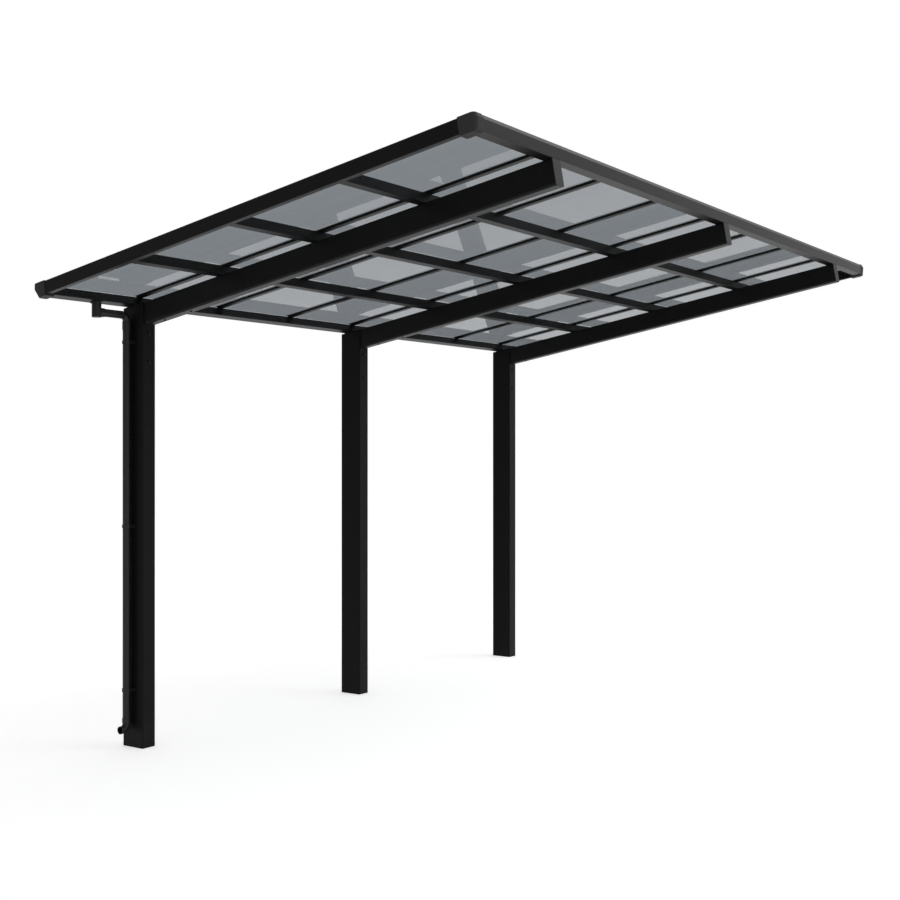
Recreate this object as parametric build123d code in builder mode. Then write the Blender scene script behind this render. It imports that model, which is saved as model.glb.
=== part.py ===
from build123d import *
import os
from math import cos, radians, sin, tan

# Cantilever carport: three posts along one side carry sloping beams that reach out over the parking bay.
# X runs from the posts to the open side, Y along the length, Z up, all in millimetres.
# The origin is the centre of the middle post's foot.

# Overall sizes
clear_height = 2270.0
post_spacing = 1850.0
beam_reach = 2578.0
roof_length = 4950.0
roof_slope = 10.0

# Posts
post_width = 155.0
post_depth = 90.0
post_wall = 4.0
post_corner = 6.0
foot_thickness = 8.0

# Beams, with the plate and spigot that hold them and the cap on the free end
beam_width = 70.0
beam_height = 120.0
beam_wall = 3.5
beam_low_corner = 12.0
beam_top_corner = 4.0
joint_plate = 4.0
joint_plate_rim = 1.5
spigot_length = 370.0
spigot_wall = 5.0
slip_gap = 0.3
end_cap = 3.0
end_plug_depth = 35.0

# Purlins
purlin_count = 3
purlin_width = 40.0
purlin_height = 50.0
purlin_wall = 2.5
purlin_corner = 2.0
first_purlin = 585.0

# Roof frame: two side rails, the high rail and the gutter, all of one height
rail_height = 68.0
rail_wall = 2.5
side_rail_width = 30.0
high_rail_width = 47.0
high_face_height = 48.0
high_face_lean = 12.0
high_bevel_lean = 8.0
high_rail_wall = 2.8
high_rail_edge = 1.5
rail_bevel = 8.0
rail_edge = 3.0
cover_lip = 6.0
pocket_depth = 18.0

# Gutter, from the posts' inner face outwards
gutter_inner_edge = 38.0
gutter_bottom_width = 64.0
gutter_inner_lean = 22.0
gutter_outer_lean = 27.0
gutter_belly_height = 40.0
gutter_top_lean = 6.0
gutter_ledge = 14.0
gutter_lip = 10.0
gutter_wall = 2.5
gutter_bend = 3.0

# Corner caps
cap_along_slope = 74.0
cap_along_length = 54.0
cap_proud = 2.0
cap_foot = 8.0
cap_round = 3.0
cap_corner = 20.0
cap_lap = 3.0

# Glazing bars and sheets
bay_count = 8
bar_pitch = 610.0
bar_width = 35.0
bar_height = 10.0
bar_wall = 1.5
bar_corner = 1.5
bar_web = 4.0
strip_width = 30.0
strip_thickness = 3.0
sheet_thickness = 4.0
sheet_gap = 1.0
sheet_side_gap = 1.5
drip_edge = 88.0

# Rainwater outlet and downpipe on the front post
pipe_radius = 21.0
pipe_wall = 2.0
pipe_stand_off = 6.0
outlet_shift = 6.0
elbow_radius = 34.0
socket_depth = 22.0
socket_shoulder = 4.0
outlet_from_post = 230.0
outlet_radius = 20.0
outlet_wall = 2.5
outlet_flange = 52.0
outlet_flange_thickness = 3.0
branch_drop = 52.0
outlet_floor_drop = 28.0
cup_margin = 1.0
shoe_height = 100.0
shoe_reach = 45.0
shoe_bend = 33.0
low_clip_rise = 210.0
middle_clip_height = 1190.0
high_clip_drop = 145.0
clip_height = 18.0
clip_band = 3.0
clip_ear = 40.0
clip_base = 3.0

# Values worked out from the sizes above
slope = radians(roof_slope)
run, rise = cos(slope), sin(slope)
post_face = post_width / 2
post_places = {"front": -post_spacing, "middle": 0.0, "back": post_spacing}
frame_low = beam_height
frame_top = frame_low + rail_height
purlin_top = frame_low + purlin_height
sheet_low = purlin_top + bar_height
sheet_top = sheet_low + sheet_thickness
rail_inner = beam_reach - high_rail_width
purlin_pitch = (rail_inner - first_purlin) / purlin_count
roof_end = roof_length / 2
field_end = roof_end - side_rail_width
gutter_outer_edge = gutter_inner_edge + gutter_bottom_width
gutter_belly = gutter_outer_edge + gutter_outer_lean
high_cap_start = beam_reach - cap_along_slope
low_cap_start = -gutter_inner_edge - cap_lap
pipe_y = -post_spacing - post_depth / 2 - pipe_stand_off - pipe_radius
outlet_y = -post_spacing - post_depth / 2 - outlet_from_post

os.makedirs("parts", exist_ok=True)


def slope_point(along, square, y=0.0):
    """The point so far up the slope from the posts' inner face and so far square to the beams' underside."""
    x = post_face + along * run - square * rise
    return Vector(x, y, clear_height + along * rise + square * run)


def length_section(y):
    """A plane across the roof's length: its x runs up the slope, and an extrusion runs to the front."""
    return Plane(origin=slope_point(0, 0, y), x_dir=(run, 0, rise), z_dir=(0, -1, 0))


def slope_section(along, y=0.0):
    """A plane across the slope: its x runs to the back, and an extrusion runs up the slope."""
    return Plane(origin=slope_point(along, 0, y), x_dir=(0, 1, 0), z_dir=(run, 0, rise))


def roof_plane(square):
    """A plane parallel to the roof: its x runs up the slope and its y to the back."""
    return Plane(origin=slope_point(0, square), x_dir=(run, 0, rise), z_dir=(-rise, 0, run))


def height_at(x, square):
    """Height above the ground of a roof-parallel plane at one x."""
    return clear_height + (x - post_face) * tan(slope) + square / run


def finish(part, name):
    """Labels a finished piece and writes it under its own name."""
    part.label = name
    export_step(part, "parts/" + name + ".step")


# Posts: closed box sections whose tops are cut parallel to the roof, under the gutter
def post_outline(half_width, low, top_square):
    with BuildLine() as outline:
        Polyline(
            (-half_width, low),
            (half_width, low),
            (half_width, height_at(half_width, top_square)),
            (-half_width, height_at(-half_width, top_square)),
            close=True,
        )
    make_face(outline.edges())


for place, post_y in post_places.items():
    with BuildPart() as post:
        with BuildSketch(Plane.XZ.offset(-post_y)):
            post_outline(post_width / 2, 0, frame_low)
        extrude(amount=post_depth / 2, both=True)
        fillet(post.edges().filter_by(Axis.Z), post_corner)
        with BuildSketch(Plane.XZ.offset(-post_y)):
            post_outline(post_width / 2 - post_wall, foot_thickness, frame_low - post_wall)
        extrude(amount=post_depth / 2 - post_wall, both=True, mode=Mode.SUBTRACT)
    finish(post.part, "post_" + place)


# Beams: box sections with rounded lower corners, cut upright where they meet the posts
def beam_outline(inset):
    width = beam_width - 2 * inset
    height = beam_height - 2 * inset
    with Locations((0, beam_height / 2)):
        Rectangle(width, height)
    fillet(vertices().group_by(Axis.Y)[0], beam_low_corner - inset)
    fillet(vertices().group_by(Axis.Y)[-1], max(beam_top_corner - inset, slip_gap))


for place, post_y in post_places.items():
    with BuildPart() as beam:
        with BuildSketch(slope_section(-beam_height, post_y)):
            beam_outline(0)
            offset(amount=-beam_wall, mode=Mode.SUBTRACT)
        extrude(amount=beam_height + beam_reach - end_cap)
        split(bisect_by=Plane.YZ.offset(post_face + joint_plate), keep=Keep.TOP)
    finish(beam.part, "beam_" + place)

    with BuildPart() as beam_joint:
        with BuildSketch(slope_section(-beam_height, post_y)):
            beam_outline(beam_wall + slip_gap)
            offset(amount=-spigot_wall, mode=Mode.SUBTRACT)
        extrude(amount=beam_height + spigot_length)
        split(bisect_by=Plane.YZ.offset(post_face + joint_plate), keep=Keep.TOP)
        plate_height = beam_height / run + 2 * joint_plate_rim
        plate_middle = height_at(post_face, beam_height / 2)
        with BuildSketch(Plane.YZ.offset(post_face)):
            with Locations((post_y, plate_middle)):
                Rectangle(beam_width + 2 * joint_plate_rim, plate_height)
            fillet(vertices().group_by(Axis.Y)[0], beam_low_corner)
        extrude(amount=joint_plate)
    finish(beam_joint.part, "beam_joint_" + place)

    with BuildPart() as beam_cap:
        with BuildSketch(slope_section(beam_reach - end_cap, post_y)):
            beam_outline(0)
        extrude(amount=end_cap)
        with BuildSketch(slope_section(beam_reach - end_cap, post_y)):
            beam_outline(beam_wall + slip_gap)
            offset(amount=-spigot_wall, mode=Mode.SUBTRACT)
        extrude(amount=-end_plug_depth)
        chamfer(beam_cap.faces().sort_by(Axis.X)[-1].edges(), end_cap / 3)
    finish(beam_cap.part, "beam_cap_" + place)


# Purlins: box sections that lie on the beams and end at the side rails
for number in range(purlin_count):
    with BuildPart() as purlin:
        with BuildSketch(length_section(field_end)):
            with Locations((first_purlin + number * purlin_pitch, frame_low + purlin_height / 2)):
                RectangleRounded(purlin_width, purlin_height, purlin_corner)
            offset(amount=-purlin_wall, kind=Kind.INTERSECTION, mode=Mode.SUBTRACT)
        extrude(amount=2 * field_end)
    finish(purlin.part, "purlin_" + str(number + 1))


# Side rails: a closed chamber below and a pocket above it that grips the sheets' edges
def side_rail_outline(side):
    outer = side * roof_end
    with BuildLine() as outline:
        Polyline(
            (outer - side * side_rail_width, frame_low),
            (outer, frame_low),
            (outer, frame_top),
            (outer - side * (side_rail_width + cover_lip), frame_top),
            (outer - side * (side_rail_width + cover_lip), frame_top - rail_wall),
            (outer - side * (side_rail_width - pocket_depth), frame_top - rail_wall),
            (outer - side * (side_rail_width - pocket_depth), sheet_low),
            (outer - side * side_rail_width, sheet_low),
            close=True,
        )
    make_face(outline.edges())
    outer_end = -1 if side > 0 else 0
    fillet(vertices().group_by(Axis.X)[outer_end].sort_by(Axis.Y)[0], rail_edge)
    fillet(vertices().group_by(Axis.X)[outer_end].sort_by(Axis.Y)[-1], rail_bevel)


for place, side in (("front", -1), ("back", 1)):
    with BuildPart() as side_rail:
        with BuildSketch(slope_section(low_cap_start)):
            side_rail_outline(side)
            chamber_height = sheet_low - frame_low - 2 * rail_wall
            with Locations((side * (roof_end - side_rail_width / 2), (frame_low + sheet_low) / 2)):
                Rectangle(side_rail_width - 2 * rail_wall, chamber_height, mode=Mode.SUBTRACT)
        extrude(amount=high_cap_start - low_cap_start)
    finish(side_rail.part, "side_rail_" + place)


# High rail: the same pocket behind a flat outer face that leans out, with a bevel that leans back in above it
def high_face(square):
    """How far up the slope the high rail's outer face stands at one level."""
    over_edge = square - frame_low - high_face_height
    if over_edge < 0:
        return beam_reach + high_face_lean * (1 + over_edge / high_face_height)
    return beam_reach + high_face_lean - high_bevel_lean * over_edge / (rail_height - high_face_height)


def high_rail_outline():
    with BuildLine() as outline:
        Polyline(
            (high_face(frame_low), frame_low),
            (high_face(frame_low + high_face_height), frame_low + high_face_height),
            (high_face(frame_top), frame_top),
            (rail_inner - cover_lip, frame_top),
            (rail_inner - cover_lip, frame_top - rail_wall),
            (rail_inner + pocket_depth, frame_top - rail_wall),
            (rail_inner + pocket_depth, sheet_low),
            (rail_inner, sheet_low),
            (rail_inner, frame_low),
            close=True,
        )
    make_face(outline.edges())
    fillet(vertices().sort_by(Axis.X)[-3:], high_rail_edge)


def high_rail_chamber():
    low = frame_low + rail_wall
    edge = frame_low + high_face_height
    top = sheet_low - rail_wall
    with BuildLine() as outline:
        Polyline(
            (rail_inner + rail_wall, low),
            (high_face(low) - high_rail_wall, low),
            (high_face(edge) - high_rail_wall, edge),
            (high_face(top) - high_rail_wall, top),
            (rail_inner + rail_wall, top),
            close=True,
        )
    make_face(outline.edges(), mode=Mode.SUBTRACT)


with BuildPart() as high_rail:
    with BuildSketch(length_section(roof_end - cap_along_length)):
        high_rail_outline()
        high_rail_chamber()
    extrude(amount=2 * (roof_end - cap_along_length))
finish(high_rail.part, "high_rail")


# Gutter: one bent wall with a ledge for the glazing bars and a leaning belly on the outside
gutter_points = [
    (-gutter_inner_edge - gutter_inner_lean - gutter_ledge, purlin_top),
    (-gutter_inner_edge - gutter_inner_lean, purlin_top),
    (-gutter_inner_edge, frame_low),
    (-gutter_outer_edge, frame_low),
    (-gutter_belly, frame_low + gutter_belly_height),
    (-gutter_belly + gutter_top_lean, frame_top),
    (-gutter_belly + gutter_top_lean + gutter_lip, frame_top),
]
outlet_along = -(gutter_inner_edge + gutter_bottom_width / 2 + outlet_shift)
outlet_mouth = slope_point(outlet_along, frame_low, outlet_y)
pipe_x = outlet_mouth.X

with BuildPart() as gutter:
    gutter_length = 2 * (roof_end - cap_along_length)
    with BuildSketch(length_section(roof_end - cap_along_length)):
        with BuildLine():
            FilletPolyline(*gutter_points, radius=gutter_bend)
            offset(amount=gutter_wall, side=Side.RIGHT)
        make_face()
    extrude(amount=gutter_length)
    with Locations(roof_plane(frame_low)):
        with Locations((outlet_along, outlet_y)):
            Cylinder(outlet_radius - outlet_wall, 4 * gutter_wall, mode=Mode.SUBTRACT)
finish(gutter.part, "gutter")


# Corner caps: moulded blocks, a little proud of the frame, with a slot for the sheet's corner
def low_cap_outline():
    with BuildLine() as outline:
        Polyline(
            (low_cap_start, frame_low - cap_foot),
            (-gutter_outer_edge - cap_proud, frame_low - cap_foot),
            (-gutter_belly - cap_proud, frame_low + gutter_belly_height),
            (-gutter_belly + gutter_top_lean - cap_proud, frame_top + cap_proud),
            (low_cap_start, frame_top + cap_proud),
            close=True,
        )
    make_face(outline.edges())


def high_cap_outline():
    top = frame_top + cap_proud
    edge = frame_low + high_face_height
    with BuildLine() as outline:
        Polyline(
            (high_face(frame_low) + cap_proud, frame_low),
            (high_face(edge) + cap_proud, edge),
            (high_face(top) + cap_proud, top),
            (high_cap_start, top),
            (high_cap_start, frame_low - cap_foot),
            (beam_reach - cap_foot, frame_low - cap_foot),
            close=True,
        )
    make_face(outline.edges())


def corner_cap(name, side, outline, outer_edges, outer_edge_end):
    start_y = roof_end + cap_proud if side > 0 else cap_along_length - roof_end
    end_side = -1 if side > 0 else 0
    with BuildPart() as cap:
        with BuildSketch(length_section(start_y)):
            outline()
        extrude(amount=cap_along_length + cap_proud)
        end_face = cap.faces().sort_by(Axis.Y)[end_side]
        fillet(end_face.edges().sort_by(Axis.X)[outer_edges], cap_corner)
        end_face = cap.faces().sort_by(Axis.Y)[end_side]
        along_slope = end_face.edges().filter_by(Axis((0, 0, 0), (run, 0, rise))).sort_by(Axis.Z)
        fillet([along_slope[0], along_slope[-1]], cap_round)
        slot_long = 2 * (cap_along_slope + high_rail_width)
        slot_end = field_end + pocket_depth
        slot_start = roof_end - cap_along_length - sheet_gap
        with BuildSketch(roof_plane(sheet_low)):
            with Locations((outer_edge_end, side * (slot_start + slot_end) / 2)):
                Rectangle(slot_long, slot_end - slot_start)
        extrude(amount=frame_top - rail_wall - sheet_low, mode=Mode.SUBTRACT)
    finish(cap.part, name)


high_slot_middle = rail_inner + pocket_depth - cap_along_slope - high_rail_width
low_slot_middle = -drip_edge - sheet_gap + cap_along_slope + high_rail_width
for place, side in (("front", -1), ("back", 1)):
    corner_cap("corner_cap_high_" + place, side, high_cap_outline, slice(-2, None), high_slot_middle)
    corner_cap("corner_cap_low_" + place, side, low_cap_outline, slice(0, 2), low_slot_middle)


# Glazing bars: a flat box that carries the sheets, a web between them and a cover strip on top
bar_low_end = -gutter_inner_edge - gutter_inner_lean - gutter_ledge
strip_high_end = rail_inner - cover_lip - sheet_gap
for number in range(1, bay_count):
    bar_y = (number - bay_count / 2) * bar_pitch
    with BuildPart() as bar:
        with BuildSketch(slope_section(bar_low_end, bar_y)):
            with Locations((0, purlin_top + bar_height / 2)):
                RectangleRounded(bar_width, bar_height, bar_corner)
                Rectangle(bar_width - 2 * bar_wall, bar_height - 2 * bar_wall, mode=Mode.SUBTRACT)
        extrude(amount=rail_inner - bar_low_end)
        with BuildSketch(slope_section(-drip_edge, bar_y)):
            web_top = sheet_top + slip_gap + strip_thickness / 2
            with Locations((0, (sheet_low + web_top) / 2)):
                Rectangle(bar_web, web_top - sheet_low)
            with Locations((0, sheet_top + slip_gap + strip_thickness / 2)):
                RectangleRounded(strip_width, strip_thickness, strip_thickness / 3)
        extrude(amount=strip_high_end + drip_edge)
    finish(bar.part, "glazing_bar_" + str(number))


# Sheets: one to each bay, carried by the bars and held in the rails' pockets
sheet_high_end = rail_inner + pocket_depth - sheet_gap
for number in range(bay_count):
    low_side = (number - bay_count / 2) * bar_pitch + bar_web / 2 + sheet_side_gap
    high_side = (number + 1 - bay_count / 2) * bar_pitch - bar_web / 2 - sheet_side_gap
    if number == 0:
        low_side = -(field_end + pocket_depth - sheet_gap)
    if number == bay_count - 1:
        high_side = field_end + pocket_depth - sheet_gap
    with BuildPart() as sheet:
        with BuildSketch(roof_plane(sheet_low)):
            with Locations(((sheet_high_end - drip_edge) / 2, (low_side + high_side) / 2)):
                Rectangle(sheet_high_end + drip_edge, high_side - low_side)
        extrude(amount=sheet_thickness)
    finish(sheet.part, "roof_sheet_" + str(number + 1))


# Rainwater outlet: a flange under the gutter and a round cup with a side socket for the branch pipe
branch_z = outlet_mouth.Z - branch_drop
cup_floor = branch_z - outlet_floor_drop
socket_radius = pipe_radius + slip_gap + outlet_wall
cup_radius = socket_radius + cup_margin
branch_start = outlet_y + cup_radius

with BuildPart() as outlet:
    with BuildSketch(roof_plane(frame_low)):
        with Locations((outlet_along, outlet_y)):
            RectangleRounded(outlet_flange, outlet_flange, rail_bevel)
    extrude(amount=-outlet_flange_thickness)
    with BuildSketch(Plane.XY.offset(cup_floor)):
        with Locations((outlet_mouth.X, outlet_y)):
            Circle(cup_radius)
    extrude(until=Until.NEXT)
    with BuildSketch(Plane.XZ.offset(-outlet_y)):
        with Locations((outlet_mouth.X, branch_z)):
            Circle(socket_radius)
    extrude(amount=-cup_radius - socket_depth)
    with BuildSketch(Plane.XY.offset(cup_floor + outlet_wall)):
        with Locations((outlet_mouth.X, outlet_y)):
            Circle(outlet_radius - outlet_wall)
    extrude(amount=2 * branch_drop, mode=Mode.SUBTRACT)
    with BuildSketch(Plane.XZ.offset(-outlet_y)):
        with Locations((outlet_mouth.X, branch_z)):
            Circle(pipe_radius - pipe_wall)
    extrude(amount=-cup_radius - socket_depth, mode=Mode.SUBTRACT)
    with BuildSketch(Plane.XZ.offset(-branch_start)):
        with Locations((outlet_mouth.X, branch_z)):
            Circle(pipe_radius + slip_gap)
    extrude(amount=-socket_depth, mode=Mode.SUBTRACT)
finish(outlet.part, "rain_outlet")


# Pipes: thin round walls, joined by sockets that slip over the plain ends
def swept_pipe(path):
    with BuildSketch(Plane(origin=path @ 0, z_dir=path % 0)) as ring:
        Circle(pipe_radius)
        Circle(pipe_radius - pipe_wall, mode=Mode.SUBTRACT)
    sweep(sections=ring.sketch, path=path)


branch_points = [
    (outlet_mouth.X, branch_start, branch_z),
    (pipe_x, pipe_y, branch_z),
    (pipe_x, pipe_y, branch_z - elbow_radius - socket_depth),
]
with BuildPart() as branch:
    with BuildLine() as branch_line:
        FilletPolyline(*branch_points, radius=elbow_radius)
    swept_pipe(branch_line.line)
finish(branch.part, "branch_pipe")

downpipe_top = branch_z - elbow_radius - socket_depth
downpipe_low = shoe_height + elbow_radius + socket_shoulder
sleeve_radius = pipe_radius + slip_gap + pipe_wall
with BuildPart() as downpipe:
    with BuildSketch(Plane.XY.offset(downpipe_low)):
        with Locations((pipe_x, pipe_y)):
            Circle(pipe_radius)
            Circle(pipe_radius - pipe_wall, mode=Mode.SUBTRACT)
    extrude(amount=downpipe_top - downpipe_low)
finish(downpipe.part, "downpipe")

with BuildPart() as sleeve:
    with BuildSketch(Plane.XY.offset(downpipe_top - socket_depth)):
        with Locations((pipe_x, pipe_y)):
            Circle(sleeve_radius)
            Circle(pipe_radius + slip_gap, mode=Mode.SUBTRACT)
    extrude(amount=2 * socket_depth)
finish(sleeve.part, "pipe_sleeve")

shoe_points = [
    (pipe_x, pipe_y, downpipe_low - socket_shoulder),
    (pipe_x, pipe_y, shoe_height),
    (pipe_x, pipe_y - shoe_reach, shoe_height),
]
with BuildPart() as shoe:
    with BuildSketch(Plane.XY.offset(downpipe_low - socket_shoulder)):
        with Locations((pipe_x, pipe_y)):
            Circle(sleeve_radius)
    extrude(amount=socket_shoulder + socket_depth)
    with BuildSketch(Plane.XY.offset(downpipe_low)):
        with Locations((pipe_x, pipe_y)):
            Circle(pipe_radius + slip_gap)
    extrude(amount=socket_depth, mode=Mode.SUBTRACT)
    with BuildSketch(Plane.XY.offset(downpipe_low - socket_shoulder)):
        with Locations((pipe_x, pipe_y)):
            Circle(pipe_radius - pipe_wall)
    extrude(amount=socket_shoulder, mode=Mode.SUBTRACT)
    with BuildLine() as shoe_line:
        FilletPolyline(*shoe_points, radius=shoe_bend)
    swept_pipe(shoe_line.line)
finish(shoe.part, "pipe_shoe")


# Pipe clips: a band round the pipe with two ears flat on the post
clip_heights = (shoe_height + low_clip_rise, middle_clip_height, branch_z - high_clip_drop)
for number, clip_z in enumerate(clip_heights):
    post_front = -post_spacing - post_depth / 2
    with BuildPart() as clip:
        with BuildSketch(Plane.XY.offset(clip_z - clip_height / 2)):
            with Locations((pipe_x, pipe_y)):
                Circle(pipe_radius + slip_gap + clip_band)
            with Locations((pipe_x, (pipe_y + post_front) / 2)):
                Rectangle(2 * pipe_radius, post_front - pipe_y)
            with Locations((pipe_x, post_front - clip_base / 2)):
                Rectangle(2 * clip_ear, clip_base)
            with Locations((pipe_x, pipe_y)):
                Circle(pipe_radius + slip_gap, mode=Mode.SUBTRACT)
        extrude(amount=clip_height)
    finish(clip.part, "pipe_clip_" + str(number + 1))
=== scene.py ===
from math import cos, pi, radians, sin, tan

import bmesh
import bpy
from mathutils import Matrix, Vector


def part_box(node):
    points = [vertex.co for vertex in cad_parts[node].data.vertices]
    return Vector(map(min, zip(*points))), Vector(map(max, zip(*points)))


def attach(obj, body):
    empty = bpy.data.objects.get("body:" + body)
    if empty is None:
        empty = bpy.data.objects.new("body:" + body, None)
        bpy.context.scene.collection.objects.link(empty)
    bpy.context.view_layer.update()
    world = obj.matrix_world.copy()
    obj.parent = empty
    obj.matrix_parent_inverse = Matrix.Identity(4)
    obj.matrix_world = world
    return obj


bl_info = {
    "name": "Cantilever Carport",
    "version": (1, 0, 0),
    "blender": (4, 5, 0),
    "location": "View3D > Sidebar > Carport",
    "description": "Finishes, fixings and seals of a cantilever carport, with its stage",
    "category": "Object",
}

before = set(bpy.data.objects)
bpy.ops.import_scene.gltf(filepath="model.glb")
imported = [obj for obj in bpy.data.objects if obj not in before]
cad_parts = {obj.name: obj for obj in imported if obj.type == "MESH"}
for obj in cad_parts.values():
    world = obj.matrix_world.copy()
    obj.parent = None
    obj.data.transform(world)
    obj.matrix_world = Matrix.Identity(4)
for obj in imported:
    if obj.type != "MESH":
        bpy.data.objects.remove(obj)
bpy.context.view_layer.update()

# Nodes of the frame by kind
SIDES = ("front", "middle", "back")
SHEETS = sorted(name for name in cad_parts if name.startswith("roof_sheet_"))
BARS = sorted(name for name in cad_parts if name.startswith("glazing_bar_"))
CLIPS = sorted(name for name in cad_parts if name.startswith("pipe_clip_"))
CAPS = sorted(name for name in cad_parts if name.startswith("corner_cap_"))
PURLINS = ("purlin_1", "purlin_2", "purlin_3")
PIPES = ("rain_outlet", "branch_pipe", "pipe_sleeve", "downpipe", "pipe_shoe")

# Places on the roof in metres, up the slope from the posts' inner face
DRIP_EDGE = -0.088
BAR_START = -0.074
CAP_INNER_EDGE = -0.041
HIGH_RAIL_EDGE = 2.531

# Places on the roof in metres, square to the beams' underside
SHEET_UNDERSIDE = 0.180
SHEET_TOP = 0.184

# Widths on the roof in metres
SIDE_RAIL_WALL = 0.030
COVER_LIP = 0.006
STRIP_WIDTH = 0.030
CORNER_CAP = 0.054

# Places of the fixings in metres: the bolts by height, the screws up the slope
BOLT_HEIGHTS = (2.226, 2.075)
UNDER_SCREWS = (0.124, 0.323)
CAP_SCREWS = (2.406, 2.514)
CAP_SCREW_SQUARE = 0.062
CLIP_BASE = 0.003
CLIP_SCREW_OUT = 0.78  # share of a clip's half width

# Heads of the smaller screws, as shares of the screw head's diameter
CAP_SCREW_SIZE = 0.7
CLIP_SCREW_SIZE = 0.75

# A bolt and its washer, as shares of the bolt's width across its flats
WASHER_RADIUS = 0.78
WASHER_THICKNESS = 0.12
WASHER_EDGE = 0.04
HEAD_RADIUS = 0.577
HEAD_HEIGHT = 0.42
HEAD_EDGE = 0.06

# A screw head's rings: scale from the ring before, and lift as a share of the diameter
DOME_RINGS = ((1.0, 0.10), (0.90, 0.16), (0.78, 0.10), (0.72, 0.03))
SOCKET_RINGS = ((0.86, -0.01), (0.98, -0.20))

# Sections of the seals (width, height) and how far they stand off, as shares of the seal's width
LIP_UNDER = (1.0, 0.8)
LIP_OVER = (0.7, 0.5)
BAR_REACH = 0.25
RAIL_REACH = 0.3
COVER_REACH = 0.1

SHARP_ANGLE = radians(35.0)

# Grain of the coats: scale of the coarse noise, weight of the fine one, swing of the roughness
COARSE_SCALE = 0.21
FINE_WEIGHT = 0.6
SPECK = 0.08

# Dust: upward part of a face's normal that it starts and is full at, limits of the noise that
# breaks it into patches and how much it keeps there, and the height of its splash zone in metres
DUST_COLOUR = (0.19, 0.18, 0.165, 1.0)
DUST_UPWARD = (0.55, 0.98)
DUST_PATCHES = (0.36, 0.68)
DUST_IN_PATCHES = (0.25, 1.0)
SPLASH_HEIGHT = 0.22
SPLASH_SHARE = 0.7

# Spread of a finish around its own colour
COAT_TONES = (0.9, 1.12)
SHEET_TONES = (0.95, 1.05)

# Smoked sheet: refraction, direction of its flow lines, noise and spread of its roughness
SHEET_IOR = 1.12
FLOW_STRETCH = (0.35, 7.0, 0.35)
HAZE_NOISE = (0.35, 0.7)
HAZE_SPREAD = (0.6, 1.7)

# Camera, floor and light, in metres and radians
CAMERA_PLACE = (5.3059, -6.5626, 1.591)
CAMERA_TURN = (pi / 2 + 0.0012, 0.0, 0.6052)
SENSOR_WIDTH = 36.0  # mm
FLOOR_SIZE = 60.0
LAMP_SIZE = 7.0
LAMP_PLACE = (6.0, 4.0, 8.0)
LAMP_AIM = (1.0, 0.0, 1.0)

# Turn of the sky's bright side towards +X, and where it changes from dim to bright
SKY_TURN = 0.45
SKY_CHANGE = (-0.7, 0.9)


# Properties


class CarportFinish(bpy.types.PropertyGroup):
    """Colours and surface values of the finishes."""

    coat_colour: bpy.props.FloatVectorProperty(
        name="Coat",
        description="Colour of the powder coat on posts, beams and roof frame",
        subtype="COLOR",
        size=3,
        min=0.0,
        max=1.0,
        default=(0.006, 0.006, 0.0062),
    )
    coat_roughness: bpy.props.FloatProperty(
        name="Coat roughness",
        description="Roughness of the powder coat between its grains",
        subtype="FACTOR",
        min=0.0,
        max=1.0,
        default=0.42,
    )
    coat_grain: bpy.props.FloatProperty(
        name="Coat grain",
        description="Number of grains of the powder coat in a metre",
        min=1.0,
        max=5000.0,
        default=900.0,
    )
    moulding_colour: bpy.props.FloatVectorProperty(
        name="Moulding",
        description="Colour of the moulded corner caps and beam end caps",
        subtype="COLOR",
        size=3,
        min=0.0,
        max=1.0,
        default=(0.05, 0.05, 0.0506),
    )
    moulding_roughness: bpy.props.FloatProperty(
        name="Moulding roughness",
        description="Roughness of the corner caps and beam end caps",
        subtype="FACTOR",
        min=0.0,
        max=1.0,
        default=0.5,
    )
    pipe_colour: bpy.props.FloatVectorProperty(
        name="Pipes",
        description="Colour of the rainwater pipes and their clips",
        subtype="COLOR",
        size=3,
        min=0.0,
        max=1.0,
        default=(0.014, 0.014, 0.0144),
    )
    sheet_colour: bpy.props.FloatVectorProperty(
        name="Sheet",
        description="Tint of the smoked roof sheets",
        subtype="COLOR",
        size=3,
        min=0.0,
        max=1.0,
        default=(0.243, 0.263, 0.281),
    )
    sheet_roughness: bpy.props.FloatProperty(
        name="Sheet roughness",
        description="Roughness of the roof sheets",
        subtype="FACTOR",
        min=0.0,
        max=1.0,
        default=0.03,
    )
    rubber_colour: bpy.props.FloatVectorProperty(
        name="Rubber",
        description="Colour of the seals",
        subtype="COLOR",
        size=3,
        min=0.0,
        max=1.0,
        default=(0.032, 0.032, 0.0325),
    )
    screw_colour: bpy.props.FloatVectorProperty(
        name="Screws",
        description="Colour of the blackened screws and bolts",
        subtype="COLOR",
        size=3,
        min=0.0,
        max=1.0,
        default=(0.008, 0.008, 0.0083),
    )
    dust_amount: bpy.props.FloatProperty(
        name="Dust",
        description="How much dust lies on surfaces that face up and near the ground",
        subtype="FACTOR",
        min=0.0,
        max=1.0,
        default=0.06,
    )


class CarportSizes(bpy.types.PropertyGroup):
    """Sizes of the fixings and seals."""

    roof_slope: bpy.props.FloatProperty(
        name="Roof slope",
        description="Slope of the roof, as the frame has it",
        subtype="ANGLE",
        unit="ROTATION",
        default=radians(10.0),
    )
    bolt_head: bpy.props.FloatProperty(
        name="Bolt head",
        description="Width of a post bolt across its flats",
        subtype="DISTANCE",
        unit="LENGTH",
        default=0.013,
    )
    screw_head: bpy.props.FloatProperty(
        name="Screw head",
        description="Diameter of a screw's domed head",
        subtype="DISTANCE",
        unit="LENGTH",
        default=0.012,
    )
    seal_width: bpy.props.FloatProperty(
        name="Seal",
        description="Width of the rubber lip along a glazing bar",
        subtype="DISTANCE",
        unit="LENGTH",
        default=0.0018,
    )


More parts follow.
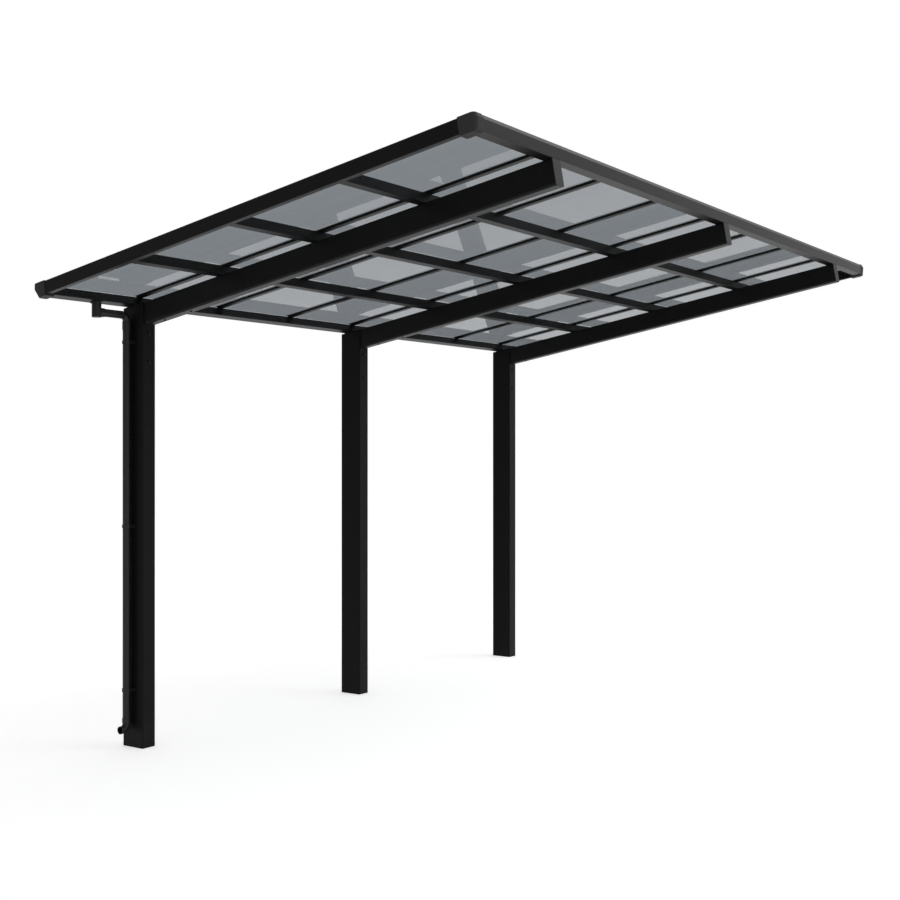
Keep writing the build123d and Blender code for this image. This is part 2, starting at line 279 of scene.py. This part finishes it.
class CarportStage(bpy.types.PropertyGroup):
    """Camera, floor and light."""

    lens: bpy.props.FloatProperty(
        name="Lens",
        description="Focal length of the camera on a 36 mm sensor",
        subtype="DISTANCE_CAMERA",
        unit="CAMERA",
        default=50.94,
    )
    floor_colour: bpy.props.FloatVectorProperty(
        name="Floor",
        description="Colour of the floor",
        subtype="COLOR",
        size=3,
        min=0.0,
        max=1.0,
        default=(0.82, 0.82, 0.82),
    )
    floor_glow: bpy.props.FloatProperty(
        name="Floor glow",
        description="Light that the floor adds where it is seen, so that only a soft shadow stays",
        min=0.0,
        max=2.0,
        default=0.58,
    )
    sky_dim: bpy.props.FloatProperty(
        name="Dim side",
        description="Strength of the light from behind the camera",
        min=0.0,
        max=2.0,
        default=0.35,
    )
    sky_bright: bpy.props.FloatProperty(
        name="Bright side",
        description="Strength of the light from beyond the carport",
        min=0.0,
        max=2.0,
        default=0.75,
    )
    lamp_power: bpy.props.FloatProperty(
        name="Lamp",
        description="Power of the soft lamp above",
        subtype="POWER",
        unit="POWER",
        default=260.0,
    )


# Shader groups and materials


def new_group(name, inputs, outputs):
    """An empty shader group with named sockets, with its input and output nodes."""
    group = bpy.data.node_groups.new(name, "ShaderNodeTree")
    for socket_name, kind, value in inputs:
        socket = group.interface.new_socket(socket_name, in_out="INPUT", socket_type=kind)
        socket.default_value = value
    for socket_name, kind in outputs:
        group.interface.new_socket(socket_name, in_out="OUTPUT", socket_type=kind)
    return group, group.nodes.new("NodeGroupInput"), group.nodes.new("NodeGroupOutput")


def add_node(tree, kind, **settings):
    """A node of a tree with its settings and unlinked input values."""
    node = tree.nodes.new(kind)
    for key, value in settings.items():
        if key == "values":
            for socket, number in value.items():
                node.inputs[socket].default_value = number
        else:
            setattr(node, key, value)
    return node


def maths(tree, operation, first, second, clamp=False):
    """A Math node whose inputs are sockets or numbers; returns its output."""
    node = add_node(tree, "ShaderNodeMath", operation=operation, use_clamp=clamp)
    for index, value in enumerate((first, second)):
        if isinstance(value, (int, float)):
            node.inputs[index].default_value = value
        else:
            tree.links.new(value, node.inputs[index])
    return node.outputs[0]


def fit_range(tree, value, given, wanted=(0.0, 1.0)):
    """A clamped Map Range of one socket from one pair of limits to another; returns its output."""
    sockets = ("From Min", "From Max", "To Min", "To Max")
    limits = dict(zip(sockets, (*given, *wanted)))
    node = add_node(tree, "ShaderNodeMapRange", values=limits)
    tree.links.new(value, node.inputs["Value"])
    return node.outputs["Result"]


def noise(tree, vector, **values):
    """A noise texture on a vector, with its values; returns its factor."""
    node = add_node(tree, "ShaderNodeTexNoise", values=values)
    tree.links.new(vector, node.inputs["Vector"])
    return node.outputs["Fac"]


def two_tones(tree, factor, colour, tones):
    """A colour that a factor moves between two shares of itself; returns its output."""
    node = add_node(tree, "ShaderNodeMix", data_type="RGBA")
    for socket, tone in zip(("A", "B"), tones):
        node.inputs[socket].default_value = (*[part * tone for part in colour], 1.0)
    tree.links.new(factor, node.inputs["Factor"])
    return node.outputs["Result"]


def relief(tree, height, shader, strength, distance):
    """Bends a shader's normal by a bump height."""
    node = add_node(tree, "ShaderNodeBump", values={"Strength": strength, "Distance": distance})
    tree.links.new(height, node.inputs["Height"])
    tree.links.new(node.outputs["Normal"], shader.inputs["Normal"])


def grain_group():
    """Fine grain of a coated or moulded surface: a height, and a roughness that changes with it."""
    group, start, end = new_group(
        "surface grain",
        [
            ("Vector", "NodeSocketVector", (0.0, 0.0, 0.0)),
            ("Grains", "NodeSocketFloat", 900.0),
            ("Roughness", "NodeSocketFloat", 0.42),
            ("Cloud", "NodeSocketFloat", 0.06),
        ],
        [("Height", "NodeSocketFloat"), ("Roughness", "NodeSocketFloat")],
    )
    links = group.links
    vector, grains = start.outputs["Vector"], start.outputs["Grains"]
    fine = add_node(group, "ShaderNodeTexNoise", values={"Detail": 2.0, "Roughness": 0.55})
    links.new(vector, fine.inputs["Vector"])
    links.new(grains, fine.inputs["Scale"])
    coarse = add_node(group, "ShaderNodeTexNoise", values={"Detail": 1.0, "Roughness": 0.5})
    links.new(vector, coarse.inputs["Vector"])
    links.new(maths(group, "MULTIPLY", grains, COARSE_SCALE), coarse.inputs["Scale"])
    cloud = noise(group, vector, Scale=2.3, Detail=3.0)
    fine_part = maths(group, "MULTIPLY", fine.outputs["Fac"], FINE_WEIGHT)
    coarse_part = maths(group, "MULTIPLY", coarse.outputs["Fac"], 1.0 - FINE_WEIGHT)
    links.new(maths(group, "ADD", fine_part, coarse_part), end.inputs["Height"])
    swing = maths(group, "SUBTRACT", cloud, 0.5)
    swing = maths(group, "MULTIPLY", swing, start.outputs["Cloud"])
    speck = maths(group, "SUBTRACT", fine.outputs["Fac"], 0.5)
    speck = maths(group, "MULTIPLY", speck, SPECK)
    rough = maths(group, "ADD", start.outputs["Roughness"], maths(group, "ADD", swing, speck))
    links.new(rough, end.inputs["Roughness"])


def dust_group():
    """Mask of thin dust: on surfaces that face up, and in a splash zone near the ground."""
    group, start, end = new_group(
        "settled dust",
        [
            ("Vector", "NodeSocketVector", (0.0, 0.0, 0.0)),
            ("Amount", "NodeSocketFloat", 0.12),
            ("Splash Height", "NodeSocketFloat", SPLASH_HEIGHT),
        ],
        [("Mask", "NodeSocketFloat")],
    )
    links = group.links
    geometry = add_node(group, "ShaderNodeNewGeometry")
    up = add_node(group, "ShaderNodeSeparateXYZ")
    links.new(geometry.outputs["Normal"], up.inputs[0])
    place = add_node(group, "ShaderNodeSeparateXYZ")
    links.new(start.outputs["Vector"], place.inputs[0])
    upward = fit_range(group, up.outputs["Z"], DUST_UPWARD)
    low = maths(group, "DIVIDE", place.outputs["Z"], start.outputs["Splash Height"])
    splash = maths(group, "SUBTRACT", 1.0, low, clamp=True)
    splash = maths(group, "MULTIPLY", splash, SPLASH_SHARE)
    patches = noise(group, start.outputs["Vector"], Scale=14.0, Detail=5.0)
    patchy = fit_range(group, patches, DUST_PATCHES, DUST_IN_PATCHES)
    total = maths(group, "MAXIMUM", upward, splash)
    total = maths(group, "MULTIPLY", total, patchy)
    total = maths(group, "MULTIPLY", total, start.outputs["Amount"], clamp=True)
    links.new(total, end.inputs["Mask"])


def group_node(tree, name, vector, values):
    """One use of a shader group in a material, with its own values."""
    group = bpy.data.node_groups[name]
    node = add_node(tree, "ShaderNodeGroup", node_tree=group, values=values)
    tree.links.new(vector, node.inputs["Vector"])
    return node


def new_material(name):
    """A material with its tree and its main shader."""
    material = bpy.data.materials.new(name)
    material.use_nodes = True
    return material, material.node_tree, material.node_tree.nodes["Principled BSDF"]


def coated(name, colour, roughness, grains, bump, specular, cloud=0.06):
    """A dark coated or moulded surface with fine grain and a little dust."""
    finish = bpy.context.scene.carport_finish
    material, tree, shader = new_material(name)
    shader.inputs["Specular IOR Level"].default_value = specular
    vector = add_node(tree, "ShaderNodeTexCoord").outputs["Object"]
    grain_values = {"Grains": grains, "Roughness": roughness, "Cloud": cloud}
    grain = group_node(tree, "surface grain", vector, grain_values)
    dust_values = {"Amount": finish.dust_amount, "Splash Height": SPLASH_HEIGHT}
    dust = group_node(tree, "settled dust", vector, dust_values)
    shade = two_tones(tree, noise(tree, vector, Scale=5.0, Detail=2.0), colour, COAT_TONES)
    dusty = add_node(tree, "ShaderNodeMix", data_type="RGBA")
    dusty.inputs["B"].default_value = DUST_COLOUR
    tree.links.new(dust.outputs["Mask"], dusty.inputs["Factor"])
    tree.links.new(shade, dusty.inputs["A"])
    tree.links.new(dusty.outputs["Result"], shader.inputs["Base Color"])
    rough = maths(tree, "ADD", grain.outputs["Roughness"], dust.outputs["Mask"], clamp=True)
    tree.links.new(rough, shader.inputs["Roughness"])
    relief(tree, grain.outputs["Height"], shader, strength=0.35, distance=bump)
    return material


def smoked_sheet(name, colour, roughness):
    """Smoked polycarbonate: tinted clear sheet with faint flow lines and a little haze."""
    material, tree, shader = new_material(name)
    shader.inputs["Transmission Weight"].default_value = 1.0
    shader.inputs["IOR"].default_value = SHEET_IOR
    vector = add_node(tree, "ShaderNodeTexCoord").outputs["Object"]
    stretch = add_node(tree, "ShaderNodeMapping", values={"Scale": FLOW_STRETCH})
    tree.links.new(vector, stretch.inputs["Vector"])
    flow = noise(tree, stretch.outputs["Vector"], Scale=3.0, Detail=2.0)
    shade = two_tones(tree, flow, colour, SHEET_TONES)
    tree.links.new(shade, shader.inputs["Base Color"])
    haze = noise(tree, vector, Scale=6.0, Detail=4.0)
    spread = [roughness * share for share in HAZE_SPREAD]
    tree.links.new(fit_range(tree, haze, HAZE_NOISE, spread), shader.inputs["Roughness"])
    relief(tree, flow, shader, strength=0.08, distance=0.0004)
    return material


def straight_rays(tree):
    """A Light Path node, and a mask of the camera's rays, straight or through a sheet."""
    rays = add_node(tree, "ShaderNodeLightPath")
    seen, through = rays.outputs["Is Camera Ray"], rays.outputs["Is Transmission Ray"]
    return rays, maths(tree, "MAXIMUM", seen, through)


def choose_shader(tree, mask, first, second, output):
    """Shows the first shader where the mask is 0 and the second where it is 1."""
    choose = add_node(tree, "ShaderNodeMixShader")
    tree.links.new(mask, choose.inputs["Fac"])
    tree.links.new(first, choose.inputs[1])
    tree.links.new(second, choose.inputs[2])
    tree.links.new(choose.outputs["Shader"], tree.nodes[output].inputs["Surface"])


def coat(nodes, material):
    """Gives carried-over nodes their finish."""
    for name in nodes:
        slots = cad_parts[name].data.materials
        slots.clear()
        slots.append(material)


# Mesh helpers


def up_slope(along, square, y):
    """A point up the slope from the posts' inner face and square to the beams' underside."""
    angle = bpy.context.scene.carport_sizes.roof_slope
    post_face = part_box("post_middle")[1].x
    beam_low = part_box("beam_middle")[0]
    underside = beam_low.z - (beam_low.x - post_face) * tan(angle)
    x = post_face + along * cos(angle) - square * sin(angle)
    return Vector((x, y, underside + along * sin(angle) + square * cos(angle)))


def facing(direction):
    """A turn that brings Z to a direction."""
    return Vector(direction).to_track_quat("Z", "Y").to_matrix().to_4x4()


def add_ring_step(bm, edges, out, up):
    """Extrudes a ring of edges, scales the new ring by out and lifts it; returns its edges."""
    made = bmesh.ops.extrude_edge_only(bm, edges=edges)["geom"]
    verts = [item for item in made if isinstance(item, bmesh.types.BMVert)]
    bmesh.ops.scale(bm, vec=(out, out, 1.0), verts=verts)
    bmesh.ops.translate(bm, vec=(0.0, 0.0, up), verts=verts)
    return [item for item in made if isinstance(item, bmesh.types.BMEdge)]


def rounded_prism(size, radius, bottom, height, edge, sides, steps):
    """A prism with its upper edge rounded; its measures are shares of a size."""
    bm = bmesh.new()
    middle = size * (bottom + height / 2)
    bmesh.ops.create_cone(
        bm,
        cap_ends=True,
        segments=sides,
        radius1=size * radius,
        radius2=size * radius,
        depth=size * height,
        matrix=Matrix.Translation((0.0, 0.0, middle)),
    )
    rim = [item for item in bm.edges if all(vert.co.z > middle for vert in item.verts)]
    bmesh.ops.bevel(
        bm,
        geom=rim,
        offset=size * edge,
        segments=steps,
        profile=0.5,
        affect="EDGES",
        material=-1,
    )
    return bm


def hex_bolt(place, direction, flats):
    """A bolt head with a rounded top, on a thin washer."""
    washer = (WASHER_RADIUS, 0.0, WASHER_THICKNESS, WASHER_EDGE)
    bm = rounded_prism(flats, *washer, sides=32, steps=2)
    head = (HEAD_RADIUS, WASHER_THICKNESS, HEAD_HEIGHT, HEAD_EDGE)
    join_into(bm, rounded_prism(flats, *head, sides=6, steps=3))
    bmesh.ops.transform(bm, matrix=Matrix.Translation(place) @ facing(direction), verts=bm.verts)
    return bm


def dome_screw(place, direction, diameter):
    """A low domed screw head with a socket in its middle."""
    bm = bmesh.new()
    bmesh.ops.create_circle(bm, cap_ends=False, radius=diameter / 2, segments=24)
    edges = list(bm.edges)
    for out, up in DOME_RINGS + SOCKET_RINGS:
        edges = add_ring_step(bm, edges, out, up * diameter)
    bmesh.ops.contextual_create(bm, geom=edges)
    bottom = [edge for edge in bm.edges if edge.is_boundary]
    bmesh.ops.contextual_create(bm, geom=bottom)
    bmesh.ops.recalc_face_normals(bm, faces=bm.faces)
    bmesh.ops.transform(bm, matrix=Matrix.Translation(place) @ facing(direction), verts=bm.verts)
    return bm


def join_into(bm, other):
    """Adds one bmesh to another and frees it."""
    carrier = bpy.data.meshes.new("carrier")
    other.to_mesh(carrier)
    other.free()
    bm.from_mesh(carrier)
    bpy.data.meshes.remove(carrier)


def bead(start, end, width, height):
    """A rubber lip with a rounded section, drawn straight from start to end."""
    bm = bmesh.new()
    bmesh.ops.create_circle(bm, cap_ends=True, radius=0.5, segments=10)
    bmesh.ops.scale(bm, vec=(width, height, 1.0), verts=bm.verts)
    made = bmesh.ops.extrude_face_region(bm, geom=list(bm.faces))["geom"]
    verts = [item for item in made if isinstance(item, bmesh.types.BMVert)]
    bmesh.ops.translate(bm, vec=(0.0, 0.0, (end - start).length), verts=verts)
    bmesh.ops.recalc_face_normals(bm, faces=bm.faces)
    bmesh.ops.transform(bm, matrix=Matrix.Translation(start) @ facing(end - start), verts=bm.verts)
    return bm


def put_in_order(bm):
    """Puts edges and faces in an order that is the same each run, which operators don't keep."""
    bm.verts.index_update()
    for elements in (bm.edges, bm.faces):
        ordered = sorted(elements, key=lambda item: sorted(vert.index for vert in item.verts))
        for place, item in enumerate(ordered):
            item.index = place
        elements.sort()


def finished_piece(bm, name, material):
    """Writes a bmesh to a piece that rides on the carport."""
    mesh = bpy.data.meshes.new(name)
    put_in_order(bm)
    bm.to_mesh(mesh)
    bm.free()
    mesh.shade_smooth()
    mesh.set_sharp_from_angle(angle=SHARP_ANGLE)
    mesh.materials.append(material)
    piece = bpy.data.objects.new(name, mesh)
    bpy.context.scene.collection.objects.link(piece)
    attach(piece, "root")


def screws_piece(name, places, direction, maker, size):
    """One piece of like screws or bolts at several places."""
    bm = bmesh.new()
    for place in places:
        join_into(bm, maker(place, direction, size))
    finished_piece(bm, name, bpy.data.materials["blackened screw"])


# Operators


class CARPORT_OT_finishes(bpy.types.Operator):
    """Makes the finishes and gives every carried-over node its own"""

    bl_idname = "carport.finishes"
    bl_label = "Finishes"

    def execute(self, context):
        finish = context.scene.carport_finish
        grain_group()
        dust_group()
        powder = {
            "colour": finish.coat_colour,
            "roughness": finish.coat_roughness,
            "grains": finish.coat_grain,
        }
        frame_coat = coated("frame powder coat", **powder, bump=0.00012, specular=0.13)
        rail_coat = coated("rail powder coat", **powder, bump=0.00012, specular=0.18)
        post_coat = coated("post powder coat", **powder, bump=0.00012, specular=0.08, cloud=0.09)
        bar_coat = coated("bar powder coat", **powder, bump=0.0001, specular=0.12)
        joint_coat = coated(
            "joint coat",
            finish.coat_colour,
            roughness=0.55,
            grains=1300.0,
            bump=0.0001,
            specular=0.2,
        )
        cap_plastic = coated(
            "cap plastic",
            finish.moulding_colour,
            finish.moulding_roughness,
            grains=1500.0,
            bump=0.0001,
            specular=0.05,
        )
        pipe_plastic = coated(
            "pipe plastic",
            finish.pipe_colour,
            roughness=0.42,
            grains=260.0,
            bump=0.00008,
            specular=0.3,
        )
        coated(
            "seal rubber",
            finish.rubber_colour,
            roughness=0.62,
            grains=700.0,
            bump=0.00006,
            specular=0.3,
        )
        coated(
            "blackened screw",
            finish.screw_colour,
            roughness=0.5,
            grains=1800.0,
            bump=0.00003,
            specular=0.2,
        )
        sheet = smoked_sheet("smoked sheet", finish.sheet_colour, finish.sheet_roughness)
        coat(["post_" + side for side in SIDES], post_coat)
        coat(["beam_" + side for side in SIDES], frame_coat)
        coat(["beam_joint_" + side for side in SIDES], joint_coat)
        coat(["beam_cap_" + side for side in SIDES], cap_plastic)
        coat(PURLINS, frame_coat)
        coat(["side_rail_front", "side_rail_back", "gutter"], frame_coat)
        coat(["high_rail"], rail_coat)
        coat(BARS, bar_coat)
        coat(CAPS, cap_plastic)
        coat(PIPES, pipe_plastic)
        coat(CLIPS, pipe_plastic)
        coat(SHEETS, sheet)
        return {"FINISHED"}


class CARPORT_OT_post_bolts(bpy.types.Operator):
    """Adds the bolts that hold each beam's bracket, on the posts' inner faces"""

    bl_idname = "carport.post_bolts"
    bl_label = "Post bolts"

    def execute(self, context):
        sizes = context.scene.carport_sizes
        places = []
        for side in SIDES:
            low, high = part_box("post_" + side)
            middle = (low.y + high.y) / 2
            places += [(high.x, middle, height) for height in BOLT_HEIGHTS]
        screws_piece("post_bolts", places, (1, 0, 0), hex_bolt, sizes.bolt_head)
        return {"FINISHED"}


class CARPORT_OT_beam_screws(bpy.types.Operator):
    """Adds the screws under each beam, and those that hold its end cap"""

    bl_idname = "carport.beam_screws"
    bl_label = "Beam screws"

    def execute(self, context):
        sizes = context.scene.carport_sizes
        angle = sizes.roof_slope
        under, front, back = [], [], []
        for side in SIDES:
            low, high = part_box("beam_" + side)
            middle = (low.y + high.y) / 2
            under += [up_slope(along, 0.0, middle) for along in UNDER_SCREWS]
            front += [up_slope(along, CAP_SCREW_SQUARE, low.y) for along in CAP_SCREWS]
            back += [up_slope(along, CAP_SCREW_SQUARE, high.y) for along in CAP_SCREWS]
        down = (sin(angle), 0, -cos(angle))
        size = sizes.screw_head
        small = size * CAP_SCREW_SIZE
        screws_piece("beam_screws_under", under, down, dome_screw, size)
        screws_piece("beam_screws_front", front, (0, -1, 0), dome_screw, small)
        screws_piece("beam_screws_back", back, (0, 1, 0), dome_screw, small)
        return {"FINISHED"}


class CARPORT_OT_clip_screws(bpy.types.Operator):
    """Adds the screws that hold the pipe clips on the front post"""

    bl_idname = "carport.clip_screws"
    bl_label = "Clip screws"

    def execute(self, context):
        sizes = context.scene.carport_sizes
        clip_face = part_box("post_front")[0].y - CLIP_BASE
        places = []
        for name in CLIPS:
            low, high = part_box(name)
            centre = (low + high) / 2
            ear = (high.x - low.x) / 2 * CLIP_SCREW_OUT
            places += [(centre.x + side, clip_face, centre.z) for side in (-ear, ear)]
        size = sizes.screw_head * CLIP_SCREW_SIZE
        screws_piece("clip_screws", places, (0, -1, 0), dome_screw, size)
        return {"FINISHED"}


class CARPORT_OT_seals(bpy.types.Operator):
    """Adds the rubber lips between the sheets and the bars and rails"""

    bl_idname = "carport.seals"
    bl_label = "Seals"

    def execute(self, context):
        width = context.scene.carport_sizes.seal_width
        rubber = bpy.data.materials["seal rubber"]
        under = SHEET_UNDERSIDE - width * LIP_UNDER[1] / 2
        over = SHEET_TOP + width * LIP_OVER[1] / 2
        cover_edge = HIGH_RAIL_EDGE - COVER_LIP
        bars = bmesh.new()
        for name in BARS:
            low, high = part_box(name)
            middle = (low.y + high.y) / 2
            for side in (-1, 1):
                y = middle + side * ((high.y - low.y) / 2 + width * BAR_REACH)
                self.lip(bars, (BAR_START, under, y), (HIGH_RAIL_EDGE, under, y), LIP_UNDER)
                y = middle + side * (STRIP_WIDTH / 2 + width * COVER_REACH)
                self.lip(bars, (DRIP_EDGE, over, y), (cover_edge, over, y), LIP_OVER)
        finished_piece(bars, "bar_seals", rubber)
        roof_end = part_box("side_rail_back")[1].y
        rails = bmesh.new()
        for side in (-1, 1):
            y = side * (roof_end - SIDE_RAIL_WALL - width * RAIL_REACH)
            self.lip(rails, (CAP_INNER_EDGE, under, y), (HIGH_RAIL_EDGE, under, y), LIP_UNDER)
            y = side * (roof_end - SIDE_RAIL_WALL - COVER_LIP - width * COVER_REACH)
            self.lip(rails, (CAP_INNER_EDGE, over, y), (cover_edge, over, y), LIP_OVER)
        across = roof_end - CORNER_CAP
        along = HIGH_RAIL_EDGE - width * RAIL_REACH
        self.lip(rails, (along, under, -across), (along, under, across), LIP_UNDER)
        along = cover_edge - width * COVER_REACH
        self.lip(rails, (along, over, -across), (along, over, across), LIP_OVER)
        finished_piece(rails, "rail_seals", rubber)
        return {"FINISHED"}

    def lip(self, bm, start, end, section):
        """Adds one bead between two places on the roof."""
        width = bpy.context.scene.carport_sizes.seal_width
        sides = [width * share for share in section]
        join_into(bm, bead(up_slope(*start), up_slope(*end), *sides))


class CARPORT_OT_stage(bpy.types.Operator):
    """Makes the camera, the pale floor and the soft light"""

    bl_idname = "carport.stage"
    bl_label = "Stage"

    def execute(self, context):
        scene = context.scene
        stage = scene.carport_stage
        self.make_camera(scene, stage)
        self.make_floor(scene, stage)
        self.make_world(scene, stage)
        self.make_lamp(scene, stage)
        scene.view_settings.view_transform = "Standard"
        return {"FINISHED"}

    def make_camera(self, scene, stage):
        """Makes and places the camera."""
        lens = bpy.data.cameras.new("camera")
        lens.lens = stage.lens
        lens.sensor_width = SENSOR_WIDTH
        camera = bpy.data.objects.new("camera", lens)
        camera.location = CAMERA_PLACE
        camera.rotation_euler = CAMERA_TURN
        scene.collection.objects.link(camera)
        scene.camera = camera

    def make_floor(self, scene, stage):
        """Lays a pale floor that keeps a soft shadow and is near white where it is seen."""
        bm = bmesh.new()
        bmesh.ops.create_grid(bm, x_segments=1, y_segments=1, size=FLOOR_SIZE)
        mesh = bpy.data.meshes.new("floor")
        bm.to_mesh(mesh)
        bm.free()
        floor = bpy.data.objects.new("floor", mesh)
        scene.collection.objects.link(floor)
        material, tree, plain = new_material("pale floor")
        plain.inputs["Base Color"].default_value = (*stage.floor_colour, 1.0)
        plain.inputs["Roughness"].default_value = 0.9
        plain.inputs["Specular IOR Level"].default_value = 0.1
        glow = add_node(tree, "ShaderNodeEmission")
        glow.inputs["Color"].default_value = (*[stage.floor_glow] * 3, 1.0)
        both = add_node(tree, "ShaderNodeAddShader")
        tree.links.new(plain.outputs["BSDF"], both.inputs[0])
        tree.links.new(glow.outputs["Emission"], both.inputs[1])
        rays, direct = straight_rays(tree)
        seen = maths(tree, "MAXIMUM", direct, rays.outputs["Is Glossy Ray"])
        shaders = (plain.outputs["BSDF"], both.outputs["Shader"])
        choose_shader(tree, seen, *shaders, "Material Output")
        mesh.materials.append(material)

    def make_world(self, scene, stage):
        """Lights the scene from a dim and a bright side, before a white background."""
        world = bpy.data.worlds.new("studio")
        scene.world = world
        world.use_nodes = True
        tree = world.node_tree
        light = tree.nodes["Background"]
        vector = add_node(tree, "ShaderNodeTexCoord").outputs["Generated"]
        parts = add_node(tree, "ShaderNodeSeparateXYZ")
        tree.links.new(vector, parts.inputs[0])
        across = maths(tree, "MULTIPLY", parts.outputs["X"], SKY_TURN)
        side = maths(tree, "ADD", parts.outputs["Y"], across)
        beyond = fit_range(tree, side, SKY_CHANGE)
        strength = fit_range(tree, beyond, (0.0, 1.0), (stage.sky_dim, stage.sky_bright))
        tree.links.new(strength, light.inputs["Strength"])
        light.inputs["Color"].default_value = (1.0, 1.0, 1.0, 1.0)
        white = add_node(tree, "ShaderNodeBackground")
        white.inputs["Color"].default_value = (1.0, 1.0, 1.0, 1.0)
        rays, direct = straight_rays(tree)
        mirrored = maths(tree, "MULTIPLY", rays.outputs["Is Glossy Ray"], beyond)
        seen = maths(tree, "MAXIMUM", direct, mirrored)
        shaders = (light.outputs["Background"], white.outputs["Background"])
        choose_shader(tree, seen, *shaders, "World Output")

    def make_lamp(self, scene, stage):
        """Hangs one large soft lamp above the carport."""
        soft = bpy.data.lights.new("soft lamp", "AREA")
        soft.shape = "DISK"
        soft.size = LAMP_SIZE
        soft.energy = stage.lamp_power
        lamp = bpy.data.objects.new("soft lamp", soft)
        lamp.location = LAMP_PLACE
        aim = Vector(LAMP_AIM) - Vector(LAMP_PLACE)
        lamp.rotation_euler = aim.to_track_quat("-Z", "Y").to_euler()
        scene.collection.objects.link(lamp)


class CARPORT_PT_panel(bpy.types.Panel):
    """Lists the carport's finishes, sizes and steps"""

    bl_idname = "CARPORT_PT_panel"
    bl_label = "Cantilever Carport"
    bl_space_type = "VIEW_3D"
    bl_region_type = "UI"
    bl_category = "Carport"

    def draw(self, context):
        scene = context.scene
        for group in (scene.carport_finish, scene.carport_sizes, scene.carport_stage):
            box = self.layout.box()
            for key in group.__annotations__:
                box.prop(group, key)
        for step in STEPS:
            self.layout.operator(step.bl_idname)


STEPS = (
    CARPORT_OT_finishes,
    CARPORT_OT_post_bolts,
    CARPORT_OT_beam_screws,
    CARPORT_OT_clip_screws,
    CARPORT_OT_seals,
    CARPORT_OT_stage,
)
CLASSES = (CarportFinish, CarportSizes, CarportStage, *STEPS, CARPORT_PT_panel)


def register():
    for item in CLASSES:
        bpy.utils.register_class(item)
    bpy.types.Scene.carport_finish = bpy.props.PointerProperty(type=CarportFinish)
    bpy.types.Scene.carport_sizes = bpy.props.PointerProperty(type=CarportSizes)
    bpy.types.Scene.carport_stage = bpy.props.PointerProperty(type=CarportStage)


def unregister():
    del bpy.types.Scene.carport_stage
    del bpy.types.Scene.carport_sizes
    del bpy.types.Scene.carport_finish
    for item in reversed(CLASSES):
        bpy.utils.unregister_class(item)


def main():
    register()
    bpy.ops.carport.finishes()
    bpy.ops.carport.post_bolts()
    bpy.ops.carport.beam_screws()
    bpy.ops.carport.clip_screws()
    bpy.ops.carport.seals()
    bpy.ops.carport.stage()


if __name__ == "__main__":
    main()
